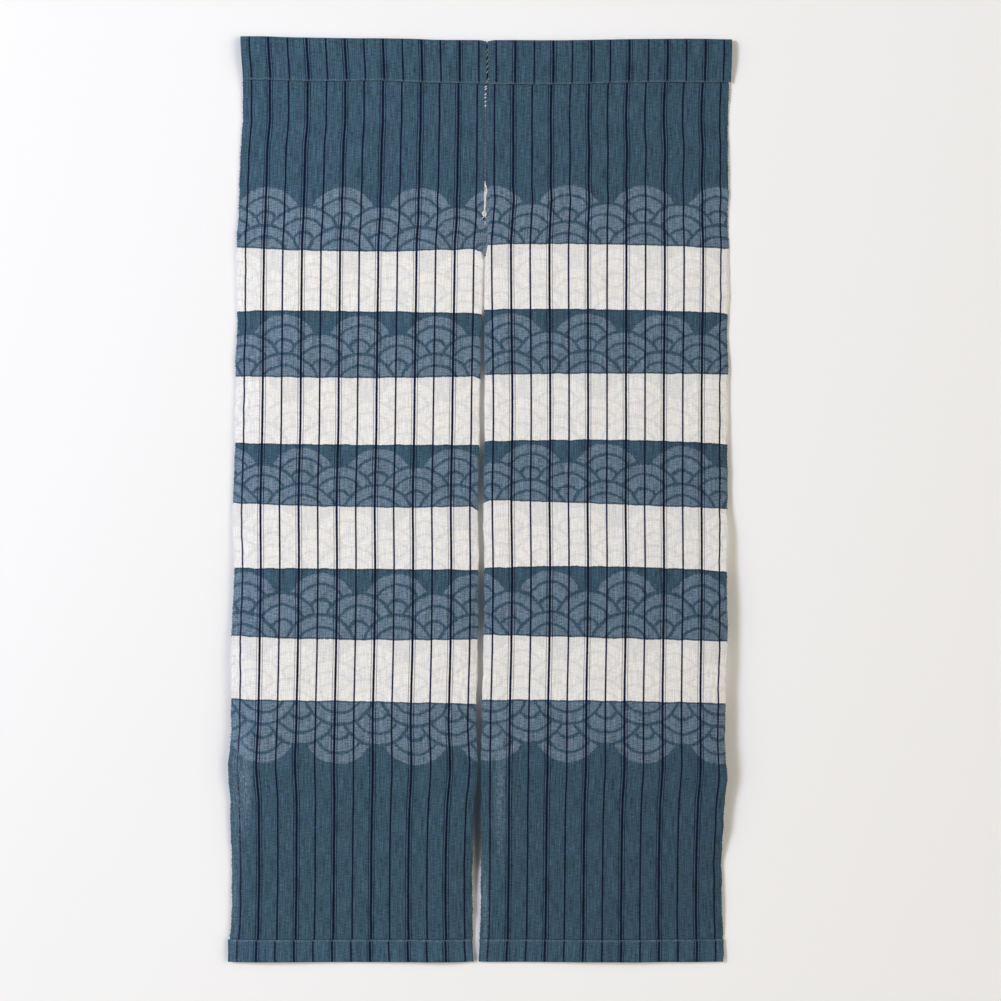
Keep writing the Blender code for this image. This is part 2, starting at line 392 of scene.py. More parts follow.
def small_unevenness(across, down):
    """Low waves all over the cloth: seeded sines of any direction, a little stretched downwards."""
    draw = np.random.default_rng(17)
    total = np.zeros(np.broadcast(across, down).shape)
    for _ in range(UNEVEN_SINES):
        length = draw.uniform(*UNEVEN_LENGTHS)
        heading = draw.uniform(0, math.pi)
        start = draw.uniform(0, 2 * math.pi)
        reach = across * math.cos(heading) + UNEVEN_STRETCH * down * math.sin(heading)
        total += UNEVEN_HEIGHT * np.sin(2 * math.pi * reach / length + start)
    return total


def bells(table, across, down):
    """The sum of a table's bell shapes: height * exp(-(x/reach)^2 - (z/reach)^2) about each place."""
    total = np.zeros(np.broadcast(across, down).shape)
    for at, level, reach_across, reach_down, height in table:
        far = ((across - at) / reach_across) ** 2 + ((down - level) / reach_down) ** 2
        total += height * np.exp(-far)
    return total


def storage_crease(across, down):
    """The ridge left by folding the cloth away: a narrow bell along a slightly wavy level."""
    line = CREASE_DOWN + CREASE_WAVER * np.sin(2 * math.pi * across / CREASE_WAVE_LENGTH)
    return -CREASE_HEIGHT * np.exp(-((down - line) / CREASE_REACH) ** 2)


PUCKER_HEIGHT = 0.22 * MM
HEADING_PUCKER_REACH = 9 * MM
HEM_PUCKER_REACH = 8 * MM
HEM_PUCKER_START = 0.3


def seam_puckers(across, down, level, reach):
    """Small puckers beside a line of stitches: waves of 20 and 12 mm that die out over reach.

    The longer wave's place is itself moved by a slow sine, so that no two puckers are alike.
    """
    wave = np.sin(across * 310 + 2 * np.sin(across * 47)) + 0.6 * np.sin(across * 523 + 1)
    return PUCKER_HEIGHT * wave * np.exp(-((down - level) / reach) ** 2)


CORNER_DROP = 2.0 * MM
CORNER_REACH = 7 * MM
CORNER_HEIGHT = 18 * MM


def panel_surface(panel):
    """The panel's points (rows along the cloth by columns across), and its own across and along.

    The points follow the solids' form. On top come the stray of the edges, of the top and of the
    heading's fold, the worn-down corner at the join, and the low relief: unevenness, dents, crease and
    puckers. An edge's part fades out inwards as a square.
    """
    down, depth, heading, hem, along = (column[:, None] for column in cloth_stations().T)
    low, high = panel_edges(panel, down)
    own_across = column_places()[None, :]
    across = low + (high - low) * own_across / PANEL_WIDTH
    from_low = across - low
    from_high = high - across
    inner, outer = (from_low, from_high) if PANELS[panel] > 0 else (from_high, from_low)
    curl = EDGE_CURL(down) * np.clip(1 - np.minimum(from_low, from_high) / CURL_WIDTH, 0, 1) ** 2
    growth = np.clip((down - WAVE_START) / WAVE_GROWTH, 0, 1)
    wave = WAVE_DEPTH * growth * np.sin(2 * math.pi * across / WAVE_LENGTH)
    sag = TOP_DROP(across) * np.clip(1 - down / SAG_REACH, 0, 1)
    sag = sag + TOP_STRAY_DROP(across) * np.clip(1 - down / TOP_STRAY_REACH, 0, 1)
    sag = sag + FOLD_DROP(across) * heading
    corner = CORNER_DROP * np.exp(-(inner / CORNER_REACH) ** 2) * np.clip(1 - down / CORNER_HEIGHT, 0, 1)
    relief = small_unevenness(across, down) * np.clip((down - 0.05) / 0.2, 0, 1)
    relief = relief + MM * bells(DENTS, across, down) + storage_crease(across, down)
    relief = relief + seam_puckers(across, down, HEADING_DEPTH, HEADING_PUCKER_REACH)
    relief = relief + seam_puckers(across + HEM_PUCKER_START, down, HEM_TOP, HEM_PUCKER_REACH)
    stray = edge_stray(panel, down, 1) * np.clip(1 - inner / INNER_STRAY_REACH, 0, 1) ** 2
    stray = stray + edge_stray(panel, down, 0) * np.clip(1 - outer / OUTER_STRAY_REACH, 0, 1) ** 2
    for distance, back in ((inner, INNER_BACK), (outer, OUTER_BACK[panel])):
        relief = relief + back(down) * np.clip(1 - distance / EDGE_BACK_REACH, 0, 1) ** 2
    x = across + stray + HEADING_SKEW(across) * heading + HEM_SKEW(across) * hem
    y = depth - BOW_OUT(down) + curl + wave + relief
    points = np.stack([x, y, -down - sag - corner], axis=2)
    return points, np.broadcast_to(own_across, x.shape), np.broadcast_to(along, x.shape)


def cloth_wear_and_light(points, along):
    """How pale (above 0) or dark (below 0) the cloth is drawn: the table's places, and its folds.

    The outer edges of the heading's and the hem's folds are drawn pale, partly as wear and partly as
    painted highlight, and the cloth that they lie on gets painted shade along the seam, each as a bell
    FOLD_REACH wide in the cloth's own length.
    """
    wear_and_light = bells(WEAR_AND_PAINTED_LIGHT, points[:, :, 0], -points[:, :, 2])
    heading_seam = HEADING_DEPTH + FOLD_DROP(points[:, :, 0])
    for fold, seam in ((-HEADING_DEPTH, heading_seam), (HEM_FOLD, HEM_TOP)):
        wear_and_light += FOLD_WEAR_AND_HIGHLIGHT * np.exp(-((along - fold) / FOLD_REACH) ** 2)
        wear_and_light += SEAM_SHADE * np.exp(-((along - seam) / FOLD_REACH) ** 2)
    return wear_and_light


def band_places(panel, own_across, along):
    """Counts the dyed bands down the cloth: whole numbers where two bands meet, parts between them.

    Each edge is a parabola through its three places, lowered beside the slit by its drips. The count
    is the sum, over all bands, of how much of the band lies above the point.
    """
    share = own_across / PANEL_WIDTH
    slit_distance = own_across if PANELS[panel] > 0 else PANEL_WIDTH - own_across
    edges = []
    for number, (left, middle, right) in enumerate(BAND_EDGES[panel]):
        bend = 4 * (middle - (left + right) / 2)
        edge = left + (right - left) * share + bend * share * (1 - share)
        for dripping, length, width, bluntness in DRIPS[panel]:
            if dripping == number:
                edge = edge + length * np.exp(-(slit_distance / (width * MM)) ** bluntness)
        edges.append(edge * MM)
    edges = [edges[0] - PLAIN_BAND_MM * MM] + edges + [edges[-1] + PLAIN_BAND_MM * MM]
    count = np.full(own_across.shape, -1.0)
    for upper, lower in zip(edges[:-1], edges[1:]):
        count += np.clip((along - upper) / (lower - upper), 0, 1)
    return count


# Meshes

def add_to_scene(name, data):
    added = bpy.data.objects.new(name, data)
    bpy.context.scene.collection.objects.link(added)
    return added


def add_object(name, mesh, material):
    """Adds a mesh as a piece of the curtain, with the given material."""
    piece = add_to_scene(name, mesh)
    mesh.materials.append(material)
    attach(piece, "root")
    return piece


def grid_faces(rows, columns):
    """Quads of a grid of rows by columns, as an array of corner numbers."""
    number = np.arange(rows * columns).reshape(rows, columns)
    corners = (number[:-1, :-1], number[:-1, 1:], number[1:, 1:], number[1:, :-1])
    return np.stack(corners, axis=-1).reshape(-1, 4)


def add_maps(mesh, maps, owner=None):
    """UV maps {name: places}. A corner takes its point's place, or its thread's where owner says so."""
    corners = np.zeros(len(mesh.loops), np.int32)
    mesh.loops.foreach_get("vertex_index", corners)
    if owner is not None:
        corners = owner[corners]
    for name, places in maps.items():
        layer = mesh.uv_layers.new(name=name)
        layer.uv.foreach_set("vector", places.reshape(-1, 2)[corners].astype(np.float32).ravel())


def cloth_maps(panel, own_across, along):
    """The cloth's own places: metres across and along, and metres across and bands down."""
    bands = band_places(panel, own_across, along)
    return {
        "Cloth": np.stack([own_across, along], axis=-1),
        "Bands": np.stack([own_across + MOTIF_OFFSET[panel], bands], axis=-1),
    }


def make_panel(panel, material):
    """The panel's cloth: the surface above with its own maps, made a sheet of the cloth's thickness."""
    points, own_across, along = panel_surface(panel)
    rows, columns, _ = points.shape
    mesh = bpy.data.meshes.new(panel + "_cloth")
    mesh.from_pydata(points.reshape(-1, 3), [], grid_faces(rows, columns))
    mesh.update()
    add_maps(mesh, cloth_maps(panel, own_across, along))
    # Pale marks are partly wear and partly painted highlight; dark ones are painted shade
    wear_and_light = mesh.attributes.new("Fade", "FLOAT", "POINT")
    wear_and_light.data.foreach_set("value", cloth_wear_and_light(points, along).ravel())
    mesh.shade_smooth()
    piece = add_object(panel + "_cloth", mesh, material)
    solidify = piece.modifiers.new("Cloth thickness", "SOLIDIFY")
    solidify.thickness = CLOTH
    solidify.offset = 0
    solidify.use_even_offset = True
    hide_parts(panel)
    return piece, points, along


def make_threads(name, paths, radius, sides, upright, material):
    """One piece of round threads along many like paths (threads, points, 3), and each point's thread.

    A ring of sides points stands square to the path at each of its points, turned to face upright. The
    first and last rings shrink to a tenth, so that the threads end in small blunt tips.
    """
    count, steps, _ = paths.shape
    forward = np.gradient(paths, axis=1)
    forward /= np.linalg.norm(forward, axis=2, keepdims=True)
    upright = np.broadcast_to(upright, paths.shape)
    outward = np.cross(forward, upright)
    outward /= np.linalg.norm(outward, axis=2, keepdims=True)
    upright = np.cross(outward, forward)
    turns = np.linspace(0, 2 * math.pi, sides, endpoint=False)[:, None]
    size = np.full(steps, radius)
    size[[0, -1]] *= 0.1
    ring = outward[:, :, None, :] * np.cos(turns) + upright[:, :, None, :] * np.sin(turns)
    points = paths[:, :, None, :] + ring * size[None, :, None, None]
    number = np.arange(count * steps * sides).reshape(count, steps, sides)
    around = np.roll(number, -1, axis=2)
    quads = np.stack([number[:, :-1], around[:, :-1], around[:, 1:], number[:, 1:]], axis=-1)
    caps = np.concatenate([number[:, 0, ::-1], number[:, -1, :]])
    mesh = bpy.data.meshes.new(name)
    mesh.from_pydata(points.reshape(-1, 3), [], quads.reshape(-1, 4).tolist() + caps.tolist())
    mesh.update()
    mesh.shade_smooth()
    return add_object(name, mesh, material), np.repeat(np.arange(count), steps * sides)


def edge_run(points, along, column, start, end):
    """An edge of the panel between two cloth lengths: reads (x, y, z) at any along."""
    keep = (along[:, 0] >= start) & (along[:, 0] <= end)
    order = np.argsort(along[keep, 0])
    lengths = along[keep, 0][order]
    line = points[keep, column][order]

    def read(place):
        return np.stack([np.interp(place, lengths, line[:, axis]) for axis in range(3)], axis=-1)

    return read


# Sewing and selvedges

LOOP_PITCH = 4.2 * MM
LOOP_REACH = 0.75 * MM
LOOP_THREAD = 0.42 * MM


def make_selvedge_loops(panel, points, along, material):
    """The weft's turns at both edges: half rings that stand a little proud of the cloth's edge.

    Each turn goes out by a sine of half a period while it runs down by four fifths of the pitch. The
    real turns are 0.6 mm apart and are drawn seven times coarser, so that they show.
    """
    draw = np.random.default_rng(5 + PANELS[panel])
    lengths = np.arange(HEADING_DEPTH + 6 * MM, HEM_TOP - 4 * MM, LOOP_PITCH)
    turn = np.linspace(0, math.pi, 5)
    paths = []
    places = []
    for column, outward, own in ((0, -1, 0.0), (-1, 1, PANEL_WIDTH)):
        read = edge_run(points, along, column, HEADING_DEPTH + 1 * MM, HEM_TOP)
        starts = lengths + draw.normal(0, 0.5 * MM, len(lengths))
        reach = LOOP_REACH * draw.uniform(0.3, 1.6, len(lengths))
        path = read(starts[:, None] + LOOP_PITCH * 0.4 * (1 - np.cos(turn)))
        path[:, :, 0] += outward * (reach[:, None] * np.sin(turn) - 0.25 * MM)
        paths.append(path)
        places.append(cloth_maps(panel, np.full(len(lengths), own), starts))
    piece, owner = make_threads(panel + "_selvedge_loops", np.concatenate(paths), LOOP_THREAD, 5,
                                (0, -1.0, 0), material)
    maps = {name: np.concatenate([side[name] for side in places]) for name in places[0]}
    add_maps(piece.data, maps, owner)
    return piece


# Stitches of the join, all in millimetres: cloth length where the row starts and ends, pitch, how far a
# stitch leans along the join, its bite into each panel, its height and its thread's radius
JOIN_ROWS = {
    "join_stitches_heading": (-66, -4, 9.0, -7.5, 1.0, 0.5, 0.55),
    "join_stitches_top": (74, 112, 6.4, 2.8, 1.1, 0.9, 0.80),
    "join_stitches_body": (76, 231, 4.6, 4.4, 1.0, 0.5, 0.66),
    "join_stitches_lower": (299, 338, 6.4, 4.0, 0.6, 0.6, 0.42),
}


def join_edges(surfaces, start, end):
    """The two selvedges that meet at the join, left and right, between two cloth lengths."""
    return [edge_run(*surfaces[panel], -1 if PANELS[panel] < 0 else 0, start, end) for panel in PANELS]


def make_join_stitches(name, surfaces, material):
    """Whip stitches that hold the two inner selvedges together.

    Each stitch is an arch over the join: it runs from the right panel to the left one, leaning along
    the join, and its height over the cloth is a sine of half a period. Size and lean vary a little.
    """
    start, end, pitch, lean, bite, rise, radius = (value * MM for value in JOIN_ROWS[name])
    draw = np.random.default_rng(3)
    reach = (-HEADING_DEPTH, 0) if start < 0 else (HEADING_DEPTH, 0.5)
    read_left, read_right = join_edges(surfaces, *reach)
    starts = np.arange(start, end, pitch)
    starts = starts + draw.normal(0, 0.09 * pitch, len(starts))
    leans = lean * draw.uniform(0.7, 1.2, len(starts))
    bites = bite * draw.uniform(0.6, 1.4, len(starts))
    rises = rise * draw.uniform(0.8, 1.2, len(starts))
    share = np.linspace(0, 1, 9)
    first = read_right(starts)
    second = read_left(starts + leans)
    first[:, 0] += bites
    second[:, 0] -= bites
    paths = first[:, None, :] + (second - first)[:, None, :] * share[None, :, None]
    paths[:, :, 1] -= rises[:, None] * np.sin(math.pi * share) - 0.1 * MM
    make_threads(name, paths, radius, 6, (0.2, 0, 1.0), material)


# Loose thread where the join has come open: how many strands run down the gap, and its ends below, as
# places across and down in millimetres of each end's start, middle and tip
LOOSE_STRANDS = 5
LOOSE_THREAD = 0.50 * MM
LOOSE_ENDS = (
    (-4.4, 288.5, -5.8, 290.0, -7.9, 293.5),
    (-4.4, 288.5, -2.4, 289.6, -0.9, 292.4),
    (-7.4, 281.5, -7.2, 286.0, -4.6, 289.4),
    (-1.0, 283.0, -1.6, 287.6, -4.0, 288.9),
    (-3.6, 297.0, -3.2, 300.0, -3.5, 304.0),
)


def make_loose_thread(surfaces, material):
    """Undyed thread that shows in the open part of the join, with its tangled ends.

    A strand runs down the gap while it swings from one selvedge to the other, its share of the way
    across being a sine. An end is a parabola through its three places, lying on the cloth.
    """
    draw = np.random.default_rng(11)
    read_left, read_right = join_edges(surfaces, HEADING_DEPTH, 0.5)
    turn = np.linspace(0, 1, 60)
    paths = []
    for number in range(LOOSE_STRANDS):
        down = GAP_START - 3 * MM + (GAP_END - GAP_START - 4 * MM) * turn
        swing = 0.5 + 0.42 * np.sin(2 * math.pi * (draw.uniform(1.0, 2.5) * turn + draw.uniform()))
        path = read_left(down) + (read_right(down) - read_left(down)) * swing[:, None]
        path[:, 1] += (0.5 - 0.5 * number) * LOOSE_THREAD
        paths.append(path)
    for x0, z0, x1, z1, x2, z2 in LOOSE_ENDS:
        shares = np.stack([(1 - turn) * (1 - 2 * turn), 4 * turn * (1 - turn), turn * (2 * turn - 1)])
        down = MM * np.array([z0, z1, z2]) @ shares
        path = (read_left(down) + read_right(down)) / 2
        path[:, 0] = MM * np.array([x0, x1, x2]) @ shares
        path[:, 1] -= CLOTH / 2 + 1.2 * LOOSE_THREAD
        paths.append(path)
    make_threads("join_loose_thread", np.array(paths), LOOSE_THREAD, 6, (0, -1.0, 0), material)


# Slip stitches: their thread's radius, their shortest and longest length, their slant across, and how
# proud of the fold a stitch's points stand in turn
SLIP_THREAD = 0.30 * MM
SLIP_LENGTHS_MM = (1.6, 2.6)
SLIP_SLANT = 0.9 * MM
SLIP_PROUD = np.array([0.25, 0.62, 0.70, 0.50, -0.35, -1.20]) * MM


def make_slip_stitches(name, points, along, own_edge, pitch, material):
    """Slip stitches along a turned edge: short slanted bites from the fold on to the cloth beside it.

    own_edge is the cloth length of the fold. Each bite runs over the fold's edge in a low arch and ends
    in the cloth below it.
    """
    draw = np.random.default_rng(len(name) + int(own_edge * 100) ** 2)
    row = int(np.argmin(np.abs(along[:, 0] - own_edge)))
    fold = points[row]
    order = np.argsort(fold[:, 0])
    starts = np.arange(fold[order[0], 0] + 5 * MM, fold[order[-1], 0] - 4 * MM, pitch)
    starts = starts + draw.normal(0, 0.12 * pitch, len(starts))
    heights = np.interp(starts, fold[order, 0], fold[order, 2])
    depths = np.interp(starts, fold[order, 0], fold[order, 1])
    out = -1 if own_edge < 0 else 1
    length = draw.uniform(*SLIP_LENGTHS_MM, len(starts)) * MM
    share = np.linspace(-0.4, 0.6, len(SLIP_PROUD))
    x = starts[:, None] + SLIP_SLANT * share
    z = heights[:, None] + out * length[:, None] * share
    y = depths[:, None] - SLIP_PROUD
    return make_threads(name, np.stack([x, y, z], axis=2), SLIP_THREAD, 5, (1.0, 0, 0), material)[0]


# Materials

def linear(colour):
    """The linear colour of an sRGB hex value, with alpha 1."""
    parts = [int(colour[i:i + 2], 16) / 255 for i in (1, 3, 5)]
    return (*[((part + 0.055) / 1.055) ** 2.4 if part > 0.04045 else part / 12.92 for part in parts], 1)


USUAL_SETTINGS = {
    "Math": {"operation": "MULTIPLY"},
    "VectorMath": {"operation": "MULTIPLY"},
    "Mix": {"data_type": "RGBA"},
}
SOFT_STEP = {"interpolation_type": "SMOOTHSTEP"}


def add_node(tree, kind, *values, named=None, **settings):
    """Adds a node with its settings. Values go to its working sockets in order, named ones by name.

    A value is a number, a vector, a hex colour, a node, whose first working output is linked, or a pair
    of a node and the name of its output. A Math node multiplies and a Mix mixes colours, unless a
    setting says something else.
    """
    node = tree.nodes.new("ShaderNode" + kind)
    for name, value in {**USUAL_SETTINGS.get(kind, {}), **settings}.items():
        setattr(node, name, value)
    working = [socket for socket in node.inputs if socket.enabled]
    given = list(zip(working, values))
    given += [(node.inputs[name], value) for name, value in (named or {}).items()]
    for socket, value in given:
        if isinstance(value, bpy.types.Node):
            tree.links.new(next(output for output in value.outputs if output.enabled), socket)
        elif isinstance(value, tuple) and isinstance(value[0], bpy.types.Node):
            tree.links.new(value[0].outputs[value[1]], socket)
        else:
            socket.default_value = linear(value) if isinstance(value, str) else value
    return node


def new_material(name):
    """An empty material, and the function that adds nodes to it."""
    material = bpy.data.materials.new(name)
    material.use_nodes = True
    material.node_tree.nodes.clear()
    return material, partial(add_node, material.node_tree)


def marks(put, place, across, along, detail=1.0):
    """An uneven pattern, 0 to 1, with marks of about across by along millimetres."""
    scaled = put("VectorMath", place, (1 / across, 1 / along, 1))
    return put("TexNoise", scaled, 1.0, detail, noise_dimensions="2D")


def between(put, value, low, high):
    """1 where a value lies between two numbers, else 0."""
    over = put("Math", value, low, operation="GREATER_THAN")
    under = put("Math", value, high, operation="LESS_THAN")
    return put("Math", over, under)


STRIPE_FIRST_MM = 14.6
STRIPE_PITCH_MM = 31.0
STRIPE_SINGLE_MM = 2.9
STRIPE_THICK_MM = 3.7
STRIPE_FINE_MM = 1.0
STRIPE_FINE_AT_MM = 4.6
STRIPE_WANDER_MM = 0.5


def warp_stripes(put, place, across):
    """Masks of the dark warp stripes: (wide lines, fine lines, whether the stripe is a triple one).

    Stripes stand one pitch apart. Each second one is triple: a thicker line with a fine line on each
    side. A slow noise moves them by a few tenths of a millimetre.
    """
    wander = marks(put, place, 60, 120)
    moved = put("Math", wander, STRIPE_WANDER_MM, across, operation="MULTIPLY_ADD")
    moved = put("Math", moved, STRIPE_FIRST_MM + STRIPE_WANDER_MM / 2, operation="SUBTRACT")
    turns = put("Math", moved, STRIPE_PITCH_MM, operation="DIVIDE")
    number = put("Math", turns, operation="ROUND")
    off = put("Math", turns, number, operation="SUBTRACT")
    off = put("Math", off, operation="ABSOLUTE")
    off = put("Math", off, STRIPE_PITCH_MM)
    triple = put("Math", number, 1.0, operation="PINGPONG")
    half = put("Math", triple, (STRIPE_THICK_MM - STRIPE_SINGLE_MM) / 2, STRIPE_SINGLE_MM / 2,
               operation="MULTIPLY_ADD")
    fuzz = marks(put, place, 1.2, 4)
    half = put("Math", fuzz, 0.5, half, operation="MULTIPLY_ADD")
    within = put("Math", half, off, operation="SUBTRACT")
    wide = put("MapRange", within, 0.05, 0.45, 0.0, 1.0, **SOFT_STEP)
    fine = put("Math", off, STRIPE_FINE_AT_MM, operation="SUBTRACT")
    fine = put("Math", fine, operation="ABSOLUTE")
    fine = put("MapRange", fine, STRIPE_FINE_MM / 2, STRIPE_FINE_MM / 2 + 0.3, 1.0, 0.0, **SOFT_STEP)
    fine = put("Math", fine, triple)
    return wide, fine, triple


EDGE_WAVER_MM = 3.4
EDGE_FRAY_MM = 1.8
EDGE_LINE_MM = 2.0


def band_masks(put, place):
    """The dyed bands: (count of bands, white bands, dark line at a blue band's edge, places across).

    The count is frayed by two noises, one as slow as a hand-drawn line and one as quick as the threads.
    The white bands are the odd ones, and the dye has drawn together in a line where it met the resist.
    """
    pattern = put("UVMap", uv_map="Bands")
    split = put("SeparateXYZ", pattern)
    slow = marks(put, place, 26, 26, 2.0)
    quick = marks(put, place, 1.6, 9)
    fray = put("Math", slow, EDGE_WAVER_MM / BAND_HEIGHT_MM, (split, "Y"), operation="MULTIPLY_ADD")
    fray = put("Math", quick, EDGE_FRAY_MM / BAND_HEIGHT_MM, fray, operation="MULTIPLY_ADD")
    middle = (EDGE_WAVER_MM + EDGE_FRAY_MM) / 2 / BAND_HEIGHT_MM
    count = put("Math", fray, middle, operation="SUBTRACT")
    half_on = put("Math", count, 0.5, operation="SUBTRACT")
    swing = put("Math", half_on, 1.0, operation="PINGPONG")
    blur = 0.4 / BAND_HEIGHT_MM
    white = put("MapRange", swing, 0.5 - blur, 0.5 + blur, 0.0, 1.0, **SOFT_STEP)
    line = put("MapRange", swing, 0.5 - (EDGE_LINE_MM + 1.2) / BAND_HEIGHT_MM,
               0.5 - EDGE_LINE_MM / BAND_HEIGHT_MM, 0.0, 1.0, **SOFT_STEP)
    inside = between(put, count, 0.5, BAND_COUNT - 0.5)
    white = put("Math", white, inside)
    line = put("Math", line, inside)
    across = put("Math", (split, "X"), 1000.0)
    return count, white, line, across


RING_EDGES = (0.27, 0.35, 0.63, 0.70, 0.92)
RING_BLUR = 0.010
SCALE_RADIUS = 0.60
SCALE_FEET = (0.62, 0.92, 1.22)


def scale_waves(put, place, count, across):
    """The old wave pattern of overlapping scales: 1 in their light rings, 0 in the lines between.

    Each band holds three rows of round scales, each half a radius below the last and half a pitch
    aside. A point belongs to the lowest row whose scale it is in, that is, where its distance from the
    scale's foot, over its radius, is under 1. Rings follow that distance. Each band is moved sideways
    by an odd share of a pitch, and the last one is upside down, so that the pattern ends below as it
    starts above.
    """
    band = put("Math", count, operation="FLOOR")
    part = put("Math", count, band, operation="SUBTRACT")
    last = put("Math", count, BAND_COUNT - 1.0, operation="GREATER_THAN")
    part = put("Math", last, part, operation="SUBTRACT")
    part = put("Math", part, operation="ABSOLUTE")
    sideways = put("Math", band, 0.37 * MOTIF_PITCH_MM, across, operation="MULTIPLY_ADD")
    wobble = marks(put, place, 24, 24)
    sideways = put("Math", wobble, 7.0, sideways, operation="MULTIPLY_ADD")
    turns = put("Math", sideways, MOTIF_PITCH_MM / 2, operation="DIVIDE")
    from_even = put("Math", turns, 1.0, operation="PINGPONG")
    from_odd = put("Math", 1.0, from_even, operation="SUBTRACT")
    radius = 2.0
    for foot, beside in zip(SCALE_FEET, (from_odd, from_even, from_odd)):
        height = put("Math", foot, part, operation="SUBTRACT")
        height = put("Math", height, SCALE_RADIUS, operation="DIVIDE")
        height = put("Math", height, height)
        total = put("Math", beside, beside, height, operation="MULTIPLY_ADD")
        distance = put("Math", total, operation="SQRT")
        in_row = put("Math", distance, 1.0, operation="LESS_THAN")
        radius = put("Mix", in_row, radius, distance, data_type="FLOAT")
    rough = marks(put, place, 2.2, 3.0)
    radius = put("Math", rough, 0.07, radius, operation="MULTIPLY_ADD")
    radius = put("Math", radius, 0.035, operation="SUBTRACT")
    rings = put("ValToRGB", radius)
    stops = [(0.0, 1.0)]
    for number, edge in enumerate(RING_EDGES):
        value = 1.0 if number % 2 == 0 else 0.0
        stops += [(edge - RING_BLUR, value), (edge + RING_BLUR, 1.0 - value)]
    while len(rings.color_ramp.elements) < len(stops):
        rings.color_ramp.elements.new(1.0)
    for element, (position, value) in zip(rings.color_ramp.elements, stops):
        element.position = position
        element.color = (value, value, value, 1)
    return put("Math", rings, between(put, count, 0.0, float(BAND_COUNT)))


# The cloth's tones: of its dark and light threads, of its two tints, and the tints' share
CLOTH_TONES = {
    "deep": ("#334e61", "#3f596c", "#3f526c", "#39595b", 0.45),
    "washed": ("#58718b", "#6f7f89", "#67728d", "#647f85", 0.35),
    "bare": ("#e3e4e3", "#ece6dd", "#e6e6ea", "#ebe6d8", 0.40),
}

# How the cloth darkens to the right and downwards, partly uneven dye and partly painted shade of the
# light's fall-off, as (axis, start, end, blue at both, white at both)
DYE_AND_LIGHT_FALLOFF = (
    ("X", -0.42, 0.42, (1.065, 0.85), (1.035, 0.955)),
    ("Z", -0.3, -1.3, (1.0, 0.90), (1.0, 0.95)),
)


